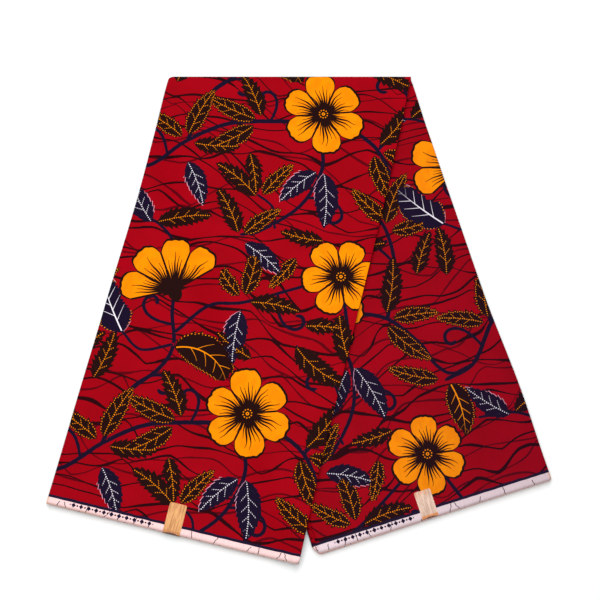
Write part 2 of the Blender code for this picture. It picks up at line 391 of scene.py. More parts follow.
# Motifs, in cm: kind, base or centre, heading in degrees clockwise from straight up, size, bend
MOTIFS = (
    ("bloom", 20.5, 16.2, 12, 5.8, 0),
    ("fan", 7.8, 29.2, -34, 7.2, 0),
    ("bloom", 27.4, 35.6, 40, 5.2, 0),
    ("leaf", 12.2, 13.5, -84, 7.0, 15),
    ("plain leaf", 12.8, 14.1, -26, 6.4, -20),
    ("leaf", 12.1, 12.5, -142, 7.4, 25),
    ("plain leaf", 28.4, 13.8, 34, 7.4, -20),
    ("leaf", 29.0, 12.8, 92, 6.0, 15),
    ("leaf", 28.0, 12.1, 158, 7.0, -25),
    ("blue leaf", 22.3, 8.3, 158, 7.4, 20),
    ("blue leaf", 21.3, 8.3, 226, 6.2, -20),
    ("wide leaf", 9.8, 22.2, 66, 9.4, 100),
    ("round leaf", 3.0, 22.6, -40, 7.8, 10),
    ("leaf", 16.5, 30.6, 8, 7.0, -20),
    ("plain leaf", 17.4, 29.8, 76, 6.4, 25),
    ("leaf", 15.8, 30.3, -56, 5.6, 20),
    ("blue leaf", 16.5, 28.4, 182, 7.0, -15),
    ("plain leaf", 31.1, 24.9, -34, 7.2, 20),
    ("leaf", 31.9, 24.9, 30, 7.4, 20),
    ("leaf", 32.3, 23.7, 100, 6.0, -20),
    ("plain leaf", 24.2, 25.6, 134, 8.0, -40),
    ("leaf", 4.4, 9.5, 6, 7.2, 20),
    ("plain leaf", 5.4, 8.5, 88, 6.0, -15),
    ("leaf", 3.6, 9.0, -58, 6.2, -20),
    ("blue leaf", 5.2, 5.8, 138, 6.2, 20),
    ("leaf", 31.7, 4.0, -72, 6.6, 25),
    ("wide leaf", 32.9, 3.0, 168, 6.8, 30),
    ("leaf", 14.4, 38.2, 32, 5.8, 20),
    ("plain leaf", 13.6, 38.2, -28, 6.6, -20),
    ("blue leaf", 14.8, 37.0, 108, 6.2, 20),
    ("leaf", 21.4, 36.6, -160, 5.2, 15),
    ("plain leaf", 33.6, 17.4, 28, 6.0, 15),
    ("plain leaf", 19.2, 22.9, -74, 5.6, 20),
    ("plain leaf", 14.6, 3.4, -50, 6.8, -25),
    ("leaf", 15.4, 3.8, 24, 5.8, 15),
    ("plain leaf", 1.2, 16.2, 18, 6.6, -20),
    ("plain leaf", 24.6, 28.4, 74, 5.2, 15),
    ("plain leaf", 3.4, 37.4, 62, 7.0, 20),
    ("blue leaf", 2.6, 37.2, -48, 6.4, 15),
    ("plain leaf", 12.6, 8.8, 152, 5.6, 15),
    ("plain leaf", 24.2, 39.6, -100, 5.6, 20),
)

# Stems, in cm: width at each end, and points
STEMS = (
    (0.50, 0.56, ((-3.4, 3.6), (0.6, 4.6), (4.5, 8.7), (8.5, 11.8), (12.5, 13.2), (17.5, 14.4))),
    (0.56, 0.44, ((4.5, 8.7), (5.2, 14.5), (8.6, 19.2), (9.5, 22.5), (8.3, 26.4), (7.8, 30.0))),
    (0.50, 0.42, ((21.3, 12.0), (21.9, 8.4), (20.3, 3.4), (16.4, -0.8), (14.0, -2.0))),
    (0.54, 0.42, ((24.0, 15.2), (28.2, 13.0), (31.0, 9.0), (32.0, 5.8), (33.6, 4.1), (36.4, 4.5))),
    (0.52, 0.42, ((28.2, 13.0), (31.0, 18.2), (31.6, 24.0), (30.0, 28.6), (28.6, 32.4))),
    (0.46, 0.38, ((9.2, 24.0), (12.4, 28.2), (16.6, 29.6), (23.4, 33.4))),
    (0.38, 0.32, ((31.4, 22.6), (27.2, 22.8), (24.2, 25.7))),
    (0.38, 0.32, ((9.4, 22.5), (5.8, 21.0), (2.9, 22.7))),
    (0.40, 0.34, ((7.8, 33.0), (5.8, 35.6), (3.0, 37.4), (-1.2, 38.0))),
    (0.36, 0.30, ((17.9, -0.2), (17.0, 2.4), (14.8, 3.6))),
)

# Hooked shoots, in cm: start, heading, length and the side that they curl to
SHOOTS = (
    (5.6, 15.4, 30, 9.0, 1),
    (31.4, 19.2, -20, 9.5, -1),
    (20.4, 31.6, 170, 8.5, -1),
    (20.8, 4.6, 75, 8.5, 1),
    (8.9, 25.0, -95, 8.0, 1),
    (2.4, 6.2, -20, 8.0, -1),
    (14.0, 13.4, 20, 7.0, -1),
)
HOOK_WIDTHS = (0.36, 0.46)  # in cm, where a shoot starts and where it ends
HOOK_TURNS = (35.0, 255.0)  # degrees of even turning, and of turning that tightens to the end
MOTIF_KINDS = ("leaf", "plain leaf", "wide leaf", "blue leaf", "round leaf", "bloom", "fan")

# Leaves: half the width at the widest part as a share of the length, base power, tip power
LEAF_SHAPES = {"leaf": (0.150, 0.62, 1.0), "plain leaf": (0.155, 0.60, 0.90),
               "wide leaf": (0.225, 0.62, 0.88), "blue leaf": (0.195, 0.74, 1.05),
               "round leaf": (0.300, 0.60, 0.72)}


def leaf_half_width(kind, share, size):
    """Half the width of a leaf at a share of its length, for arrays and for values in a material."""
    widest, base, tip = LEAF_SHAPES[kind]
    peak = base / (base + tip)
    return size * widest * (share / peak) ** base * ((1.0 - share) / (1.0 - peak)) ** tip


def motif_place(points, motif, shift):
    """Points of the cloth in a motif's own frame: across it, and along its heading."""
    kind, across, up, heading, size, bend = motif
    offset = points - (np.array((across, up)) * CM + shift)
    turn = math.radians(heading)
    x = offset[..., 0] * math.cos(turn) - offset[..., 1] * math.sin(turn)
    y = offset[..., 0] * math.sin(turn) + offset[..., 1] * math.cos(turn)
    if bend:
        radius = size * CM / math.radians(abs(bend))
        side = math.copysign(1.0, bend)
        away = np.hypot(radius - side * x, y)
        y = np.arctan2(y, radius - side * x) * radius
        x = side * (radius - away)
    return x, y


def motif_depth(x, y, motif):
    """How deep a point lies inside a motif's outline; negative outside."""
    kind, size = motif[0], motif[4] * CM
    if kind == "bloom":
        return size - np.hypot(x, y)
    if kind == "fan":
        angle = np.abs(np.arctan2(x, y))
        petals = size - np.hypot(x, y) - np.maximum(angle - FAN_HALF, 0.0) * size
        return np.maximum(petals, FAN_CUP - np.hypot(x, y + FAN_CUP_DROP))
    beyond = np.maximum(-y, y - size)
    half = leaf_half_width(kind, np.clip(y / size, 0.0, 1.0), size)
    return np.where(beyond > 0, -np.hypot(x, beyond), half - np.abs(x))


def stem_line(points):
    """A smooth line through a stem's points, as short straight steps with each one's share."""
    knots = np.array(points) * CM
    knots = np.concatenate((2 * knots[:1] - knots[1:2], knots, 2 * knots[-1:] - knots[-2:-1]))
    line = []
    for before, start, stop, after in zip(knots, knots[1:], knots[2:], knots[3:]):
        steps = max(3, int(np.linalg.norm(stop - start) / STEM_STEP))
        t = np.linspace(0.0, 1.0, steps, endpoint=False)[:, None]
        line.append(0.5 * (2 * start + (stop - before) * t
                           + (2 * before - 5 * start + 4 * stop - after) * t ** 2
                           + (3 * start - before - 3 * stop + after) * t ** 3))
    return np.concatenate(line + [knots[-2:-1]])


def beside_line(points, line):
    """Signed distance of points from a line, their share along it and how far past its ends they lie."""
    start, stop = line[:-1], line[1:]
    step = stop - start
    offset = points[:, None, :] - start[None]
    along = (offset * step).sum(-1) / (step ** 2).sum(-1)
    held = np.clip(along, 0.0, 1.0)
    away = np.hypot(*np.moveaxis(offset - held[..., None] * step, -1, 0))
    nearest = away.argmin(axis=1)
    row = np.arange(len(points))
    offset, along, held, away = (value[row, nearest] for value in (offset, along, held, away))
    step = step[nearest]
    length = np.hypot(step[:, 0], step[:, 1])
    beside = (step[:, 0] * offset[:, 1] - step[:, 1] * offset[:, 0]) / length
    beyond = ((nearest == 0) & (along < 0)) | ((nearest == len(start) - 1) & (along > 1))
    signed = np.where(beyond, beside, np.copysign(away, beside))
    past = np.where(beyond, np.abs(along - held) * length, 0.0)
    return signed, (nearest + held) / len(start), past


def hook_line(across, up, heading, length, side):
    """A shoot's line, which curls ever tighter to its end."""
    share = (np.arange(HOOK_STEPS) + 0.5) / HOOK_STEPS
    turned = HOOK_TURNS[0] * share + HOOK_TURNS[1] * share ** 3
    angle = np.radians(heading + side * turned)
    steps = np.stack((np.sin(angle), np.cos(angle)), axis=1) * length * CM / HOOK_STEPS
    return np.concatenate((np.zeros((1, 2)), np.cumsum(steps, axis=0))) + np.array((across, up)) * CM


def tile_shifts(centres, corner_low, corner_high):
    """Every shift by whole tiles that brings a shape's box over the cloth's."""
    first = np.ceil((centres.min(axis=0) - corner_high) / TILE).astype(int)
    last = np.floor((centres.max(axis=0) - corner_low) / TILE).astype(int)
    return [np.array((i, j)) * TILE for i in range(first[0], last[0] + 1)
            for j in range(first[1], last[1] + 1)]


def claim_motifs(corners, centres, selvedge, motifs):
    """The motif on every face: its kind, its size and the face's corners in the motif's own frame."""
    kinds = np.zeros(len(centres), dtype=np.int32)
    sizes = np.zeros(len(centres))
    uv = np.zeros(corners.shape)
    depths = np.full(len(centres), -CLAIM)
    for motif in motifs:
        middle, size = np.array(motif[1:3]) * CM, motif[4] * CM
        reach = size + CLAIM
        for shift in tile_shifts(centres, middle - reach, middle + reach):
            on_band = middle[1] + shift[1] < selvedge + BAND_DEPTH + BAND_LINE
            near = np.flatnonzero((np.abs(centres - middle - shift) < reach).all(axis=1))
            if on_band or not len(near):
                continue
            depth = motif_depth(*motif_place(centres[near], motif, shift), motif)
            won = depth > depths[near]
            mine = near[won]
            depths[mine] = depth[won]
            kinds[mine] = 1 + MOTIF_KINDS.index(motif[0])
            sizes[mine] = size
            uv[mine] = np.stack(motif_place(corners[mine], motif, shift), axis=-1)
    return kinds, sizes, uv


def claim_stems(corners, centres, stems):
    """For every face's corners, the distance from the nearest stem's middle and half its width there."""
    uv = np.zeros(corners.shape)
    uv[..., 0] = 1.0
    free = np.full(len(centres), CLAIM)
    for wide, narrow, line in stems:
        margin = wide * CM + CLAIM
        low, high = line.min(axis=0) - margin, line.max(axis=0) + margin
        for shift in tile_shifts(centres, low, high):
            near = np.flatnonzero(((centres > low + shift) & (centres < high + shift)).all(axis=1))
            if not len(near):
                continue
            away, share, past = beside_line(centres[near] - shift, line)
            gap = np.hypot(away, past) - (wide + (narrow - wide) * share) * CM / 2
            won = gap < free[near]
            mine = near[won]
            free[mine] = gap[won]
            away, share, past = beside_line((corners[mine] - shift).reshape(-1, 2), line)
            half = (wide + (narrow - wide) * share) * CM / 2 - past
            uv[mine] = np.stack((away, half), axis=-1).reshape(-1, 4, 2)
    return uv


def ink(red, green, blue):
    """A colour for the shader from its screen values, 0 to 255."""
    shares = np.array((red, green, blue)) / 255.0
    linear = np.where(shares <= 0.04045, shares / 12.92, ((shares + 0.055) / 1.055) ** 2.4)
    return (*linear.tolist(), 1.0)


RED = ink(147, 1, 16)
DEEP_RED = ink(139, 1, 13)
GOLD = ink(233, 132, 1)
DEEP_GOLD = ink(227, 124, 1)
BROWN = ink(30, 10, 9)
VEIN_DARK = ink(36, 4, 9)
VEIN_RED = ink(82, 2, 12)
NAVY = ink(21, 12, 34)
WHITE = ink(226, 220, 228)
SLIVER = ink(210, 150, 172)
BAND = ink(233, 198, 197)
BACK_BAND = ink(220, 199, 205)
TAN = ink(231, 176, 142)
BAND_INK = ink(26, 18, 42)
FOIL_SHADE = ink(84, 46, 27)
DULL_AND_SHADE = ink(26, 10, 28)  # what the other face of the cloth is duller by, and the painted shade towards the back stretch's outer corner

SOFT = 0.00012  # half the soft edge that ink has on cotton


def both_ways(operation):
    """The two methods of a sum, for the value on its left and for the value on its right."""
    return (lambda self, other: compute(operation, self, other),
            lambda self, other: compute(operation, other, self))


class Flow:
    """A number on its way through a material's nodes, ready for plain arithmetic."""

    def __init__(self, tree, socket):
        self.tree = tree
        self.socket = socket

    __add__, __radd__ = both_ways("ADD")
    __sub__, __rsub__ = both_ways("SUBTRACT")
    __mul__, __rmul__ = both_ways("MULTIPLY")
    __truediv__, __rtruediv__ = both_ways("DIVIDE")
    __pow__, __rpow__ = both_ways("POWER")

    def __abs__(self):
        return compute("ABSOLUTE", self)


NODES_DOWN = 14  # nodes in each column of a node tree, and the steps between them
NODE_STEPS = (200, -170)


def add_node(tree, kind):
    """A new node, placed after the others."""
    node = tree.nodes.new(kind)
    across, down = divmod(len(tree.nodes), NODES_DOWN)
    node.location = (across * NODE_STEPS[0], down * NODE_STEPS[1])
    return node


def feed(tree, value, socket):
    if isinstance(value, Flow):
        tree.links.new(value.socket, socket)
    else:
        socket.default_value = value


def use_node(tree, kind, inputs, output, **settings):
    """One output of a new node with its settings and inputs given."""
    node = add_node(tree, kind)
    for name, value in settings.items():
        setattr(node, name, value)
    for name, value in inputs.items():
        feed(tree, value, node.inputs[name])
    return Flow(tree, node.outputs[output])


def compute(operation, *values):
    tree = next(value.tree for value in values if isinstance(value, Flow))
    return use_node(tree, "ShaderNodeMath", dict(enumerate(values)), 0, operation=operation)


floor = partial(compute, "FLOOR")
fraction = partial(compute, "FRACT")
sine = partial(compute, "SINE")
least = partial(compute, "MINIMUM")
most = partial(compute, "MAXIMUM")
bearing = partial(compute, "ARCTAN2")  # angle of x and y from straight up, clockwise


def distance(x, y):
    return compute("SQRT", x * x + y * y)


def rise(value, low, high):
    """Ease from 0 at low to 1 at high."""
    return use_node(value.tree, "ShaderNodeMapRange", {"Value": value, "From Min": low, "From Max": high},
                    "Result", interpolation_type="SMOOTHSTEP")


def inked(depth):
    """Share of ink at a depth inside a shape's outline."""
    return rise(depth, -SOFT, SOFT)


def noise(x, y, detail=0.0):
    """Soft noise, about 0.2 to 0.8, over a pair of values."""
    place = use_node(x.tree, "ShaderNodeCombineXYZ", {"X": x, "Y": y}, "Vector")
    return use_node(x.tree, "ShaderNodeTexNoise", {"Vector": place, "Scale": 1.0, "Detail": detail},
                    "Fac", noise_dimensions="2D")


def uneven(x, y, size):
    """A soft push to and fro over a pair of values, for ragged outlines and wandering lines."""
    return (noise(x, y) - 0.5) * size


def chance(value):
    """A steady random number from 0 to 1 for a whole or rounded value, never for one read from a map."""
    return use_node(value.tree, "ShaderNodeTexWhiteNoise", {"W": value}, "Value", noise_dimensions="1D")


def paint(under, over, share):
    """One colour over another."""
    return use_node(share.tree, "ShaderNodeMix", {0: share, 6: under, 7: over}, 2, data_type="RGBA")


def cloth_values(tree, layer):
    """The two values that a UV map of the cloth carries."""
    place = use_node(tree, "ShaderNodeUVMap", {}, "UV", uv_map=layer)
    x = use_node(tree, "ShaderNodeSeparateXYZ", {"Vector": place}, "X")
    return x, Flow(tree, x.socket.node.outputs["Y"])


def motif_values(tree):
    """Places in the motif's own frame, across it and along it, and the motif's size."""
    return *cloth_values(tree, "motif"), cloth_values(tree, "border")[1]


def dots_along(run, away, pitch, radius):
    """Depth inside a row of dots, by the place along the row and the distance from it."""
    return radius - distance((fraction(run / pitch) - 0.5) * pitch, away)


# How the net's lines wander: run along them, run across them, and how far
NET_WANDER = ((0.19, 0.14, 0.046), (0.040, 0.030, 0.007))
NET_DRIFT = 0.12  # run in which a line's waves slip, and by how much of a wave
NET_SLIP = 1.1
NET_ANGULAR = 0.5  # how far the veins are bent rather than waved
NET_SWING = 0.49  # how far they swing, as a share of their spacing
NET_JOIN = 0.0024  # width over which two veins run together
NET_FADE = 0.5  # noise over which a net grows to its full weight

# The two nets: ink, spacing, length and seed of the lines, then their weight: its run across and up,
# where it starts, its lowest noise, the least half width and what the weight adds to it
NETS = (
    (VEIN_RED, 0.030, 0.185, 4.7, 0.035, 0.016, 31.0, 0.25, 0.0008, 0.0007),
    (VEIN_DARK, 0.021, 0.140, 0.0, 0.050, 0.020, 0.0, 0.30, 0.0009, 0.0011),
)


def net_lines(along, across, spacing, length, seed):
    """Distance to the nearest of many long lines, which part and meet round lens-shaped gaps."""
    for run, width, reach in NET_WANDER:
        across = across + uneven(along / run + seed, across / width, reach)
    row = floor(across / spacing)
    away = []
    for line in (row, row + 1.0):
        phase = along / length + line * 0.5 + noise(along / NET_DRIFT, line * 0.61 + seed) * NET_SLIP
        bent = compute("PINGPONG", phase * 2.0 + 0.5, 1.0) * 2.0 - 1.0
        swing = bent * NET_ANGULAR + sine(phase * 2 * math.pi) * (1.0 - NET_ANGULAR)
        away.append(abs(across - line * spacing - swing * spacing * NET_SWING))
    return compute("SMOOTH_MIN", *away, NET_JOIN)


MOTTLE = (14.0, 20.0)  # fineness of the red's two tones, across and up

# Ragged outlines: how fine they are, in waves a metre, and how far they stray
VEIN_EDGE = (420.0, 0.0005)
STEM_EDGE = (160.0, 0.0006)
BAND_EDGE = (90.0, 0.0012)


def ragged(across, up, fineness, size):
    return uneven(across * fineness, up * fineness, size)


def draw_ground(tree):
    """Red ground with dark veins and stems."""
    across, up = cloth_values(tree, "cloth")
    colour = paint(DEEP_RED, RED, rise(noise(across * MOTTLE[0], up * MOTTLE[1], 2.0), 0.3, 0.7))
    wobble = ragged(across, up, *VEIN_EDGE)
    for vein, spacing, length, seed, run, height, start, low, least_half, more in NETS:
        weight = rise(noise(across / run + start, up / height), low, low + NET_FADE)
        lines = net_lines(across, up, spacing, length, seed)
        colour = paint(colour, vein, inked(weight * more + least_half + wobble - lines))
    for layer in ("stem", "shoot"):
        away, half = cloth_values(tree, layer)
        colour = paint(colour, NAVY, inked(half + ragged(across, up, *STEM_EDGE) - abs(away)))
    return colour


# Tan edges of the band: where they start and end, from the cloth's end or from the strip's left edge
HEM_TAN = (0.0008, 0.0018)
HEM_FADE = (0.030, 0.110)  # from the strip's left edge, and how much of the tan it takes off
HEM_FADED = 0.7
LEFT_TAN = (0.0012, 0.0028)
RIGHT_TAN = (WIDTH - 0.0030, WIDTH - 0.0018)
TAN_SHARE = 0.8
OTHER_FACE = (0.02, 0.05)  # dulling from which the cloth's other face is told

CRACK_PITCH = 0.019
CRACK_HALF = 0.00048  # half its width, how far it leans, how far it wanders and over what run
CRACK_LEAN = 1.1
CRACK_WANDER = 0.0020
CRACK_KINK = 0.003
CRACK_PLACE = (0.25, 0.5)  # its place in its pitch: least, and what luck adds
CRACK_UPRIGHT = 0.4  # luck of one that doesn't lean
CRACK_REACH = (0.60, 1.1)  # its length in depths of the band: least, and what luck adds
CRACKS_LEFT_OUT = (0.22, 0.26)

LOZENGE_PITCH = 0.0092
LOZENGES_FROM, LOZENGES_TO = 3, 14  # the row of them, in steps from the strip's left edge
LOZENGE_PLACE = 0.0058  # from the cloth's end
LOZENGE_HALF = (0.0027, 0.0030)  # half its length and height
LOZENGE_EASE = 0.0016
DOT_RADIUS = 0.0011
THREAD_GLINT = (0.0013, 0.016)  # width and run of the threads that show in the other face's dullness
GLINT_NOISE = (0.45, 0.80)  # noise at which one shows
GLINT_DULL = 0.07  # what they add to it


def draw_band(colour):
    """The band along the selvedge: indigo line, cracks of the wax, and a row of lozenges and dots."""
    tree = colour.tree
    across, up = cloth_values(tree, "cloth")
    edge, _ = cloth_values(tree, "border")
    dull_and_shade, beside = cloth_values(tree, "face")
    wobble = ragged(across, up, *BAND_EDGE)
    colour = paint(colour, BAND_INK, inked(BAND_DEPTH + BAND_LINE + wobble - edge))
    other_face = rise(dull_and_shade, *OTHER_FACE)
    # tan along the band's edges: at the cloth's end, along the strip's left edge, and along the other face's
    # right edge
    hem = (1.0 - rise(edge, *HEM_TAN)) * (1.0 - rise(beside, *HEM_FADE) * HEM_FADED) * (1.0 - other_face)
    left = 1.0 - rise(beside + wobble * 0.5, *LEFT_TAN)
    right = rise(beside, *RIGHT_TAN) * other_face
    white = paint(BAND, BACK_BAND, other_face)
    white = paint(white, TAN, most(hem, most(left, right)) * TAN_SHARE)
    colour = paint(colour, white, inked(BAND_DEPTH + wobble * 0.5 - edge))

    place = floor(across / CRACK_PITCH)
    luck = chance(place + 3.0)
    start, spread = CRACK_PLACE
    crack = across - (place + start + luck * spread) * CRACK_PITCH
    crack = crack - (luck - CRACK_UPRIGHT) * CRACK_LEAN * edge
    crack = crack + uneven(edge / CRACK_KINK, place * 5.0, CRACK_WANDER)
    shortest, longer = CRACK_REACH
    reach = BAND_DEPTH * (shortest + longer * chance(place + 40.0))
    cracks = inked(CRACK_HALF - abs(crack)) * inked(reach - edge)
    cracks = cracks * rise(chance(place + 80.0), *CRACKS_LEFT_OUT)

    beat = beside / LOZENGE_PITCH
    over = edge - LOZENGE_PLACE
    half_length, half_height = LOZENGE_HALF
    lozenge = 1.0 - abs(fraction(beat) - 0.5) * (LOZENGE_PITCH / half_length) - abs(over) / half_height
    dot = dots_along(beside + LOZENGE_PITCH * 0.5, over, LOZENGE_PITCH, DOT_RADIUS)
    within = inked(beside - LOZENGES_FROM * LOZENGE_PITCH) * inked(LOZENGES_TO * LOZENGE_PITCH - beside)
    row = most(inked(lozenge * LOZENGE_EASE + wobble * 0.3), inked(dot)) * within
    colour = paint(colour, BAND_INK, most(cracks, row) * inked(BAND_DEPTH - edge))

    width, run = THREAD_GLINT
    threads = rise(noise(across / width, up / run), *GLINT_NOISE)
    # the other face's dulling, with painted shade towards its outer corner, and the threads' grain
    return paint(colour, DULL_AND_SHADE, least(dull_and_shade + threads * GLINT_DULL, 1.0))


TOOTH = 0.0068  # length and depth of a leaf's teeth, and how far one side's are shifted
TOOTH_DEPTH = 0.0034
TOOTH_SHIFT = 0.43
TOOTH_LUCK = (0.6, 0.8)  # a tooth's depth as a share of the usual: least, and what luck adds
LEAF_SHARES = (0.005, 0.994)  # of its length, between which a leaf's outline is worked out
LEAF_BASE = (0.02, 0.12)  # shares over which the teeth grow from the base, and go towards the tip
LEAF_TIP = (0.015, 0.10)
LEAF_FOOT = 0.0004  # how far below its base a leaf is inked
LEAF_INSET = 0.0002  # of its ink, and of the bare cloth beside it
BARE_INSET = 0.0003
BARE_WIDTH = 0.0008
BARE_NOISE = (0.42, 0.52)  # noise at which an edge is left bare
RIB_DOTS = (0.0028, 0.00066)  # pitch and radius of the dots
VEIN_DOTS = (0.0026, 0.00054)
OUTLINE_DOTS = (0.0029, 0.00060)
OUTLINE_INSET = 0.0011
RIB_START = 0.0015  # from the leaf's base
RIB_END = 0.94  # share of the leaf's length, as is the gap between two veins
VEIN_GAP = 0.19
VEIN_SHIFT = 0.45  # of one side's veins, in gaps
VEIN_SLOPE = 1.05  # how far a vein climbs for its way to the side
VEIN_REACH = 0.68  # share of the half width that it crosses
VEIN_FIRST = (0.10, 0.12)  # shares of the length between which the veins start from the rib
VEIN_LAST = (0.86, 0.84)
RIB_HALF = (0.0001, 0.0007)  # half a drawn rib's width at its tip, and what its base adds
RIB_TAPER = 0.7  # share of the length over which it thins
VEIN_HALF = (0.00042, 0.02)  # half a drawn vein's width, and what each step to the side takes off
VEIN_RUN = 1.45  # a sloping vein's length for its reach to the side, and a gap's true width
VEIN_TRUE = 0.69


def draw_leaf(ground, kind, fill, dot_ink, outline_ink=None, solid_veins=False, tooth_depth=TOOTH_DEPTH,
              bare_edge=False):
    """A toothed leaf with dotted or drawn veins, a dotted outline or none, and one edge bare or not."""
    x, y, size = motif_values(ground.tree)
    _, base, tip = LEAF_SHAPES[kind]
    first, last = LEAF_SHARES
    share = most(least(y / size, last), first)
    half = leaf_half_width(kind, share, size)
    side = abs(x)
    depth = half - side
    lean = half / size * (base / share - tip / (1.0 - share))
    steep = 1.0 / distance(lean, 1.0)
    within = rise(share, *LEAF_BASE) * rise(1.0 - share, *LEAF_TIP)
    right = compute("GREATER_THAN", x, 0.0)
    notch = y / TOOTH + right * TOOTH_SHIFT
    shallow, deeper = TOOTH_LUCK
    teeth = fraction(notch) * (shallow + deeper * chance(floor(notch))) * within * tooth_depth
    ends = inked(size - y) * inked(y + LEAF_FOOT)
    colour = ground
    if bare_edge:
        shifted = rise(noise(x * 20.0 + size * 70.0, y * 24.0), *BARE_NOISE) * right
        bared = inked(depth + teeth + shifted * BARE_WIDTH - BARE_INSET) * rise(shifted, 0.1, 0.4)
        colour = paint(colour, SLIVER, bared * ends)
    colour = paint(colour, fill, inked(depth + teeth - LEAF_INSET) * ends)
    spine = size * RIB_END - y
    gap = size * VEIN_GAP
    lane = (y - side * VEIN_SLOPE) / gap + right * VEIN_SHIFT
    away = (fraction(lane) - 0.5) * gap * VEIN_TRUE
    if solid_veins:
        tip_half, base_half = RIB_HALF
        rib = base_half * rise(spine, 0.0, size * RIB_TAPER) + tip_half - side
        vein_half, thinner = VEIN_HALF
        vein = vein_half - abs(away) - side * thinner
    else:
        rib = dots_along(y, x, *RIB_DOTS)
        vein = dots_along(side * VEIN_RUN, away, *VEIN_DOTS)
    rib = inked(rib) * inked(spine) * inked(y - RIB_START)
    root = lane * gap / size
    rooted = inked(vein) * inked(half * VEIN_REACH - side) * rise(root, *VEIN_FIRST) * rise(root, *VEIN_LAST)
    colour = paint(colour, dot_ink, most(rib, rooted))
    if outline_ink:
        inset = (depth + teeth * 0.5 - OUTLINE_INSET) * steep
        outline = dots_along(y / steep, inset, *OUTLINE_DOTS)
        colour = paint(colour, outline_ink, inked(outline) * within)
    return colour


STREAKS = 7  # streaks from the heart into each petal
STREAK_HALF = (0.00032, 0.00095)  # half a streak's width at its tip, and what its root adds
STREAK_REACH = (0.48, 0.40, 0.32)  # in flower radii: least, what luck adds, less towards a parting
STREAK_TAPER = 0.36  # flower radii over which it thins, and how far it sways in petals' widths
STREAK_SWAY = 0.16
PETAL_OUTLINE = 0.0027
PETAL_PARTING = 0.0012
PETAL_CORNER = 3.6  # power of a petal's end: the higher, the squarer
PETAL_REACH = (0.91, 0.09)  # a petal's length in flower radii: least, and what luck adds
PETAL_RAGGED = 0.05  # how far its end strays, in flower radii
PETAL_TRUE = 0.86  # depth inside a petal's sloping end, for a step outwards
HEART_RING = 0.0052  # radius of the ring of dots, their number and their radius
HEART_DOTS = 10
HEART_DOT = 0.0008
HEART_STAR = (0.16, 0.17, 1.4)  # its radius in flower radii, what a point adds, and a point's sharpness
HEART_EYE = (0.0009, 0.0021)  # radii of the dark middle and of the gold round it
FAN_SPREAD = math.radians(165)
FAN_OUTLINE = 0.0022
FAN_SIDE = 0.0003  # how far the petals, and the cup, reach past the fan's sides
FAN_CUP_SIDE = 0.004
FAN_CUP_REACH = (0.16, 0.12)  # the cup's radius in flower radii, and what a point adds
FAN_ROOT = 0.0085  # radius of the flower's root, and how far below its heart it lies
FAN_ROOT_DROP = 0.003


def draw_petals(ground, x, y, size, turn, petals, spread, seed, notch=0.36):
    """Outlined, streaked petals, with each place's distance, angle and nearness to a petal's middle."""
    far = distance(x, y)
    angle = bearing(x, y)
    lane = angle / spread * petals + turn
    petal = floor(lane)
    place = fraction(lane) - 0.5
    luck = chance(petal + seed + floor(size * 1000.0 + 0.5))
    off = abs(place * 2.0)
    wobble = uneven(angle * 9.0 + size * 900.0, petal + seed, PETAL_RAGGED)
    shortest, longer = PETAL_REACH
    edge = size * (shortest + luck * longer + wobble) * (1.0 - notch * off ** PETAL_CORNER)
    depth = (edge - far) * PETAL_TRUE
    arc = spread / petals
    parting = (0.5 - abs(place)) * arc * far
    colour = paint(ground, BROWN, inked(depth))
    warm = noise(angle * 3.0 + seed, far * 60.0, 1.0)
    gold = paint(DEEP_GOLD, GOLD, rise(warm, 0.3, 0.6))
    colour = paint(colour, gold, inked(depth - PETAL_OUTLINE) * inked(parting - PETAL_PARTING))
    sway = uneven(far * 60.0, petal * 3.7 + seed, STREAK_SWAY)
    streak = (place + sway) * STREAKS
    number = floor(streak + 0.5)
    shortest, longer, less = STREAK_REACH
    streak_luck = chance(number * 3.0 + petal * 17.0 + seed)
    reach = size * (shortest + longer * streak_luck) * (1.0 - less * off)
    across = abs(streak - number) * (arc / STREAKS) * far
    tip, root = STREAK_HALF
    taper = rise(reach - far, 0.0, size * STREAK_TAPER)
    streaks = inked(taper * root + tip - across) * inked(reach - far)
    return paint(colour, BROWN, streaks * inked(depth)), far, angle, 1.0 - off


def draw_bloom(ground):
    """An open flower of six petals, with a dark star at its heart and a ring of golden dots."""
    x, y, size = motif_values(ground.tree)
    colour, far, angle, middle = draw_petals(ground, x, y, size, 3.0, 6, 2 * math.pi, 5.0)
    radius, point, sharpness = HEART_STAR
    star = size * (radius + point * middle ** sharpness)
    colour = paint(colour, BROWN, inked(star - far))
    pitch = HEART_RING * 2 * math.pi / HEART_DOTS
    ring = dots_along(angle * HEART_RING, far - HEART_RING, pitch, HEART_DOT)
    pupil, eye = HEART_EYE
    return paint(colour, GOLD, most(inked(ring), inked(eye - far)) * inked(far - pupil))


def draw_fan(ground):
    """A flower seen from the side: petals fanned out of a dark cup."""
    x, y, size = motif_values(ground.tree)
    colour, far, angle, middle = draw_petals(ground, x, y, size, 2.0, 4, FAN_SPREAD, 8.0, notch=0.24)
    sides = (FAN_SPREAD / 2 - abs(angle)) * far
    fanned = inked(sides + FAN_SIDE)
    colour = paint(ground, colour, fanned)
    outline = fanned * inked(FAN_OUTLINE - sides) * inked(size * 0.75 - far)
    colour = paint(colour, BROWN, outline)
    radius, point = FAN_CUP_REACH
    cup = size * (radius + point * middle)
    cup = inked(cup - far) * inked(sides + FAN_CUP_SIDE)
    root = inked(FAN_ROOT - distance(x, (y + FAN_ROOT_DROP) * 0.75))
    return paint(colour, BROWN, most(cup, root))


THREAD = 0.0006  # width of the uneven threads that show, and their run before they change
THREAD_RUN = 0.0090
THREAD_RELIEF = 0.00010
THREAD_STRENGTH = 0.8
COTTON_SHEEN = 0.012
COTTON_ROUGHNESS = (0.62, 0.12)  # between the threads, and how much less on them


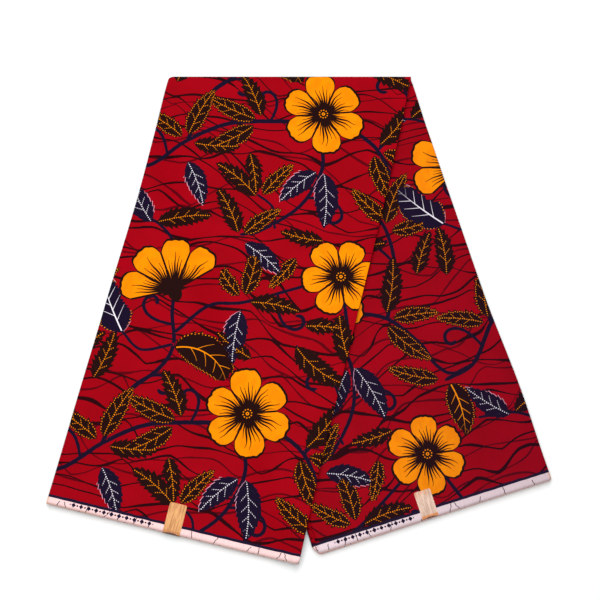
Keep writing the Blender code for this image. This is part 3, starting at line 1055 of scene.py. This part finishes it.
def weave(tree, shader):
    """Uneven threads both ways, in the cloth's relief and its gloss."""
    across, up = cloth_values(tree, "cloth")
    threads = noise(across / THREAD, up / THREAD_RUN) + noise(across / THREAD_RUN + 5.0, up / THREAD)
    bump = {"Strength": THREAD_STRENGTH, "Distance": THREAD_RELIEF, "Height": threads}
    feed(tree, use_node(tree, "ShaderNodeBump", bump, "Normal"), shader.inputs["Normal"])
    rough, smoother = COTTON_ROUGHNESS
    feed(tree, rough - threads * smoother, shader.inputs["Roughness"])


def new_material(name):
    """A material, its node tree and its shader."""
    material = bpy.data.materials.new(name)
    material.use_nodes = True
    return material, material.node_tree, material.node_tree.nodes["Principled BSDF"]


def group_colour(tree, name, **colour):
    """The colour that a node group gives, out of another one if it takes one."""
    return use_node(tree, "ShaderNodeGroup", colour, "Colour", node_tree=bpy.data.node_groups[name])


def cloth_material(name, motif=None, **looks):
    """Waxed cotton with the printed ground, and one motif over it if there is one."""
    material, tree, shader = new_material(name)
    colour = group_colour(tree, "printed ground")
    if motif:
        colour = motif(colour, **looks)
    feed(tree, group_colour(tree, "selvedge band", Colour=colour), shader.inputs["Base Color"])
    shader.inputs["Specular IOR Level"].default_value = COTTON_SHEEN
    weave(tree, shader)
    return material


def colour_group(name, draw, takes_colour):
    """A node group that gives a colour, out of another one if it takes one."""
    tree = bpy.data.node_groups.new(name, "ShaderNodeTree")
    tree.interface.new_socket("Colour", in_out="OUTPUT", socket_type="NodeSocketColor")
    start = tree
    if takes_colour:
        tree.interface.new_socket("Colour", in_out="INPUT", socket_type="NodeSocketColor")
        start = Flow(tree, add_node(tree, "NodeGroupInput").outputs["Colour"])
    feed(tree, draw(start), add_node(tree, "NodeGroupOutput").inputs["Colour"])


colour_group("printed ground", draw_ground, False)
colour_group("selvedge band", draw_band, True)
BROWN_LEAF = {"fill": BROWN, "dot_ink": GOLD}
BLUE_LEAF = {"fill": NAVY, "dot_ink": WHITE, "bare_edge": True}

# Each motif's finish, in the order of the kinds
FINISHES = (
    ("toothed leaf", draw_leaf, {**BROWN_LEAF, "kind": "leaf", "outline_ink": GOLD}),
    ("plain leaf", draw_leaf, {**BROWN_LEAF, "kind": "plain leaf"}),
    ("wide leaf", draw_leaf, {**BROWN_LEAF, "kind": "wide leaf", "outline_ink": GOLD, "solid_veins": True}),
    ("blue leaf", draw_leaf, {**BLUE_LEAF, "kind": "blue leaf", "tooth_depth": TOOTH_DEPTH * 0.55}),
    ("round leaf", draw_leaf, {**BLUE_LEAF, "kind": "round leaf", "outline_ink": GOLD, "solid_veins": True,
                               "tooth_depth": TOOTH_DEPTH * 0.7}),
    ("open flower", draw_bloom, {}),
    ("side flower", draw_fan, {}),
)
MATERIALS = [cloth_material("printed cotton")]
for name, draw, looks in FINISHES:
    MATERIALS.append(cloth_material("printed cotton, " + name, draw, **looks))

CORNER_SHADE_RUN = 0.55  # how far from the end the painted shade of an outer corner reaches, where the light falls off
BACK_DULL_AND_SHADE = (0.05, 0.31)  # share of dulling on the cloth's other face, and at its outer corner, where the rise above the first share is painted shade
BACK_ORIGIN = (0.105, -0.118)  # where the back stretch's print starts in the design
PRINT_LINES = {
    "stem": [(wide, narrow, stem_line(points)) for wide, narrow, points in STEMS],
    "shoot": [(*HOOK_WIDTHS, hook_line(*shoot)) for shoot in SHOOTS],
}


def signed_volume(points, faces):
    a, b, c, d = (points[faces[:, i]] for i in range(4))
    return float(np.sum(np.cross(a, b) * c) + np.sum(np.cross(a, c) * d)) / 6.0


def add_object(name, data):
    thing = bpy.data.objects.new(name, data)
    bpy.context.scene.collection.objects.link(thing)
    return thing


def add_uv(mesh, layer, values):
    mesh.uv_layers.new(name=layer).data.foreach_set("uv", values.astype(np.float32).ravel())


def print_cloth(mesh, faces, values, origin, dull_and_shade, motifs):
    """Lays the print on a mesh: one material a motif, and the values that they read at the corners."""
    beside, edge = values[:, 0], values[:, 2]
    corners = (values[:, :2] + origin)[faces]
    centres = corners.mean(axis=1)
    kinds, sizes, motif_uv = claim_motifs(corners, centres, origin[1], motifs)
    # the other face's dulling, which rises as painted shade towards the outer corner at the end, where the
    # light falls off
    toward_end = np.clip(1.0 - edge / CORNER_SHADE_RUN, 0.0, 1.0)
    dulls_and_shade = dull_and_shade[0] + (dull_and_shade[1] - dull_and_shade[0]) * np.clip(beside / WIDTH, 0.0, 1.0) * toward_end
    add_uv(mesh, "cloth", corners)
    add_uv(mesh, "border", np.stack((edge[faces], np.repeat(sizes[:, None], 4, axis=1)), axis=-1))
    add_uv(mesh, "motif", motif_uv)
    add_uv(mesh, "face", np.stack((dulls_and_shade[faces], beside[faces]), axis=-1))
    for layer, lines in PRINT_LINES.items():
        add_uv(mesh, layer, claim_stems(corners, centres, lines))
    for material in MATERIALS:
        mesh.materials.append(material)
    mesh.polygons.foreach_set("material_index", kinds)


def cloth_piece(name, sweeps, origin=(0.0, 0.0), dull_and_shade=(0.0, 0.0), motifs=MOTIFS):
    """One mesh from several swept stretches of cloth, with their print values at its corners."""
    all_points, all_faces, all_values = [], [], []
    offset = 0
    for points, faces, values in sweeps:
        if signed_volume(points, faces) < 0:
            faces = faces[:, ::-1]
        all_points.append(points)
        all_faces.append(faces + offset)
        all_values.append(values)
        offset += len(points)
    points, faces, values = map(np.concatenate, (all_points, all_faces, all_values))
    mesh = bpy.data.meshes.new(name)
    mesh.vertices.add(len(points))
    mesh.vertices.foreach_set("co", points.astype(np.float32).ravel())
    mesh.loops.add(faces.size)
    mesh.loops.foreach_set("vertex_index", faces.astype(np.int32).ravel())
    mesh.polygons.add(len(faces))
    mesh.polygons.foreach_set("loop_start", np.arange(0, faces.size, 4, dtype=np.int32))
    mesh.update(calc_edges=True)
    mesh.shade_smooth()
    print_cloth(mesh, faces, values, origin, dull_and_shade, motifs)
    piece = add_object(name, mesh)
    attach(piece, "root")
    return piece


def line_length(line):
    return float(run_along(line)[-1])


fine_rows = row_stations()
coarse_rows = row_stations(step=2, skip=END_ROWS)
end_rows = (end_stations(0), end_stations(2))
inner_motifs = tuple(motif for motif in MOTIFS if motif[0] == "plain leaf")
front_line, back_line = front_face_line(), back_face_line()
front_cloth = cloth_piece("front_face_cloth", [
    sweep(front_line, fine_rows, print_start=WIDTH + HEM_DEPTH, print_way=-1.0)])
back_cloth = cloth_piece("back_face_cloth", [
    sweep(back_line, fine_rows, print_start=LEFT_INSETS[0, 0], from_back=True)],
    origin=BACK_ORIGIN, dull_and_shade=BACK_DULL_AND_SHADE)
inner_ends = cloth_piece("inner_layer_ends", [
    sweep(line, rows, from_back=rows is end_rows[1])
    for line in inner_lines() for rows in end_rows], motifs=inner_motifs)
inner_folds = cloth_piece("inner_layer_folds", [sweep(line, coarse_rows) for line in hem_lines()],
                          motifs=inner_motifs)

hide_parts("front_stretch", "turned_end")
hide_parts("back_stretch")
ends_length = sum(line_length(line) for line in inner_lines())
folds_length = sum(line_length(line) for line in hem_lines())

# Blank foil seals, wrapped round the middle of each end
FILM = 0.00012
FILM_GAP = 0.00010
SEAL_WIDTH = 0.0205
SEAL_FRONT = -0.0004  # where it runs down, from the pile's end, and where it ends beneath
SEAL_UNDER = 0.0160
SEAL_ROUNDING = 0.0020  # of its corners, and of its bends
SEAL_BEND = 0.0008
SEAL_COLUMNS = 37
TOP_STEPS, BEND_STEPS, DROP_STEPS, UNDER_STEPS = 59, 6, 13, 25
CRINKLE = 0.00006  # height of the foil's creases
FOIL_METAL = 0.35
FOIL_ROUGHNESS = (0.40, 0.12)  # flat, and how much more on a crease

# Where the foil changes along it, in metres past the upper bend: from and to
FOIL_TOP = (-0.0330, -0.0230)
FOIL_EDGE = (-0.0048, -0.0026)
FOIL_ARC = (0.0020, 0.0030, 0.0010)  # the painted dark arc of shade on the edge: its place, bow and soft edge
FOIL_ARC_SIDES = (0.72, 0.86)

# Fineness of the foil's two golds and of its creases, across the film and along it
FOIL_PATCHES = (2.6, 90.0)
FOIL_CREASES = (8.0, 45.0)
CREASE_NOISE = (0.48, 0.74)  # noise at which a crease shows
PATCH_SHARE = 0.7  # how far the patches go towards the other gold


def seal_path(seal_top):
    """Distance from the pile's end and height, from the film's top end round to its underside."""
    top, low = PILE + FILM_GAP, -FILM_GAP
    bend = np.linspace(0.0, math.pi / 2, BEND_STEPS + 1)[1:]
    near, far = SEAL_BEND * (1 - np.sin(bend)), SEAL_BEND * (1 - np.cos(bend))
    stretches = (
        (np.linspace(seal_top, SEAL_FRONT + SEAL_BEND, TOP_STEPS + 1), top),
        (SEAL_FRONT + near, top - far),
        (SEAL_FRONT, np.linspace(top - SEAL_BEND, low + SEAL_BEND, DROP_STEPS + 1)[1:]),
        (SEAL_FRONT + far, low + near),
        (np.linspace(SEAL_FRONT + SEAL_BEND, SEAL_UNDER, UNDER_STEPS + 1)[1:], low),
    )
    return np.concatenate([np.stack(np.broadcast_arrays(*part), axis=1) for part in stretches])


def film_faces(rows, columns):
    """The film's outer faces, its inner ones and the rim between them."""
    index = np.arange(rows * columns).reshape(rows, columns)
    outer = grid_faces(index)
    rim = np.concatenate((index[0, :-1], index[:-1, -1], index[-1, :0:-1], index[:0:-1, 0]))
    next_rim = np.roll(rim, -1)
    walls = np.stack((rim, rim + index.size, next_rim + index.size, next_rim), axis=-1)
    return np.concatenate((outer, outer[:, ::-1] + index.size, walls))


def crinkle(u, v, place):
    """Fine creases from waves in radians a metre, in metres off the film's plain shape."""
    waves = (np.sin(610 * u + 240 * v + 27 * place) * np.sin(190 * v - 330 * u)
             + 0.6 * np.sin(1150 * u - 420 * v) * np.sin(560 * v + 2.0))
    return CRINKLE * (waves + 1.2)


def make_seal(name, node, stretch, place, seal_top, finish):
    """A crinkled foil band round a stretch's end, at a place across it and up to seal_top from the end."""
    path = seal_path(seal_top)
    run = run_along(path)
    across = np.linspace(-1.0, 1.0, SEAL_COLUMNS)
    short = np.clip(SEAL_ROUNDING - np.minimum(run, run[-1] - run), 0.0, None)
    half = SEAL_WIDTH / 2 - (SEAL_ROUNDING - np.sqrt(SEAL_ROUNDING ** 2 - short ** 2))
    x = place * WIDTH + across[None, :] * half[:, None]
    share = path[:, :1] / column_length(stretch, x / WIDTH)
    middle = stretch_points(stretch, x, share, np.broadcast_to(path[:, 1:], x.shape), 0.0)
    middle[..., :2] += PLAN_SHIFT
    normal = np.cross(np.gradient(middle, axis=0), np.gradient(middle, axis=1))
    normal /= np.linalg.norm(normal, axis=-1)[..., None]
    if normal[TOP_STEPS // 2, SEAL_COLUMNS // 2, 2] < 0:
        normal = -normal
    middle += normal * crinkle(across[None, :] * SEAL_WIDTH / 2, run[:, None], place)[..., None]
    points = np.concatenate((middle + normal * FILM / 2, middle - normal * FILM / 2)).reshape(-1, 3)
    faces = film_faces(*x.shape)
    if signed_volume(points, faces) < 0:
        faces = faces[:, ::-1]
    mesh = bpy.data.meshes.new(name)
    mesh.from_pydata(points.tolist(), [], faces.tolist())
    mesh.shade_smooth()
    mesh.set_sharp_from_angle(angle=math.radians(60.0))
    film = np.stack(np.broadcast_arrays(across[None, :], (run - seal_top)[:, None]), axis=-1)
    add_uv(mesh, "film", np.concatenate((film, film)).reshape(-1, 2)[faces])
    mesh.materials.append(finish)
    seal = add_object(name, mesh)
    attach(seal, "root")
    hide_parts(node)


def foil(name, light, dark_gold_and_crease_shade, bent):
    """Blank gold foil, a little uneven in its gold, with painted shade on its creases, where it bends over
    the edge and in a dark arc on that edge.
    """
    material, tree, shader = new_material(name)
    across, past_edge = cloth_values(tree, "film")
    patchy = rise(noise(across * FOIL_PATCHES[0], past_edge * FOIL_PATCHES[1], 2.0), 0.3, 0.7)
    creases = rise(noise(across * FOIL_CREASES[0], past_edge * FOIL_CREASES[1]), *CREASE_NOISE)
    # darker gold in patches, and painted shade on the creases
    colour = paint(light, dark_gold_and_crease_shade, most(patchy * PATCH_SHARE, creases))
    # darker towards the film's top end, in the colour that the bend's painted shade uses
    colour = paint(colour, bent, (1.0 - rise(past_edge, *FOIL_TOP)) * patchy * PATCH_SHARE)
    # painted shade where the foil bends over the pile's end
    colour = paint(colour, bent, rise(past_edge, *FOIL_EDGE))
    # a painted dark arc of shade on that edge
    place, bow, ease = FOIL_ARC
    arc = rise(past_edge + place - across * across * bow, 0.0, ease)
    colour = paint(colour, FOIL_SHADE, arc * (1.0 - rise(abs(across), *FOIL_ARC_SIDES)))
    feed(tree, colour, shader.inputs["Base Color"])
    shader.inputs["Metallic"].default_value = FOIL_METAL
    rough, rougher = FOIL_ROUGHNESS
    feed(tree, rough + creases * rougher, shader.inputs["Roughness"])
    return material


# One gold foil in two copies: each seal's golds are tinted to how it catches the light, which is painted
# reflection and shade
front_foil = foil("gold foil, front", ink(171, 121, 66), ink(155, 104, 54), ink(149, 92, 43))
back_foil = foil("gold foil, back", ink(173, 146, 129), ink(162, 135, 118), ink(167, 103, 55))
make_seal("front_seal_film", "front_foil_seal", FRONT, place=0.498, seal_top=0.0370, finish=front_foil)
make_seal("back_seal_film", "back_foil_seal", BACK, place=0.486, seal_top=0.0338, finish=back_foil)

# Stage, camera and light
FLOOR_SIZE = 8.0
FLOOR_DROP = 0.0002  # the floor lies this far below the part
ELEVATION = math.radians(75.0)
CAMERA_DISTANCE = 1.890
LENS = 90.8
LIGHTS = (  # name, place, size, power
    ("key light", (-0.10, 1.30, 1.70), 1.5, 22),
    ("fill light", (-0.08, -0.05, 1.10), 0.8, 8.6),
)
LIGHT_AIM = Vector((-0.05, 0, 0))
SURROUND = 0.51  # strength of the light from all round

bpy.ops.mesh.primitive_plane_add(size=FLOOR_SIZE, location=(0, 0, -FLOOR_DROP))
paper_sheet = bpy.context.object
paper_sheet.name = "floor"
paper, _, shader = new_material("white paper")
shader.inputs["Base Color"].default_value = (0.75, 0.77, 0.77, 1)
shader.inputs["Roughness"].default_value = 0.9
shader.inputs["Emission Color"].default_value = (0.95, 1, 1, 1)
shader.inputs["Emission Strength"].default_value = 0.10
paper_sheet.data.materials.append(paper)


def look(thing, way):
    thing.rotation_euler = way.to_track_quat("-Z", "Y").to_euler()


camera_data = bpy.data.cameras.new("camera")
camera_data.lens = LENS
camera = add_object("camera", camera_data)
back_way = Vector((0.0, -math.cos(ELEVATION), math.sin(ELEVATION)))
camera.location = Vector((*PLAN_SHIFT, 0.0)) + back_way * CAMERA_DISTANCE
look(camera, -back_way)
bpy.context.scene.camera = camera

for name, place, size, power in LIGHTS:
    data = bpy.data.lights.new(name, "AREA")
    data.shape = "DISK"
    data.size = size
    data.energy = power
    lamp = add_object(name, data)
    lamp.location = place
    look(lamp, LIGHT_AIM - Vector(place))

world = bpy.data.worlds.new("studio")
world.use_nodes = True
world.node_tree.nodes["Background"].inputs["Color"].default_value = (1, 1, 1, 1)
world.node_tree.nodes["Background"].inputs["Strength"].default_value = SURROUND
bpy.context.scene.world = world
bpy.context.scene.view_settings.view_transform = "Standard"
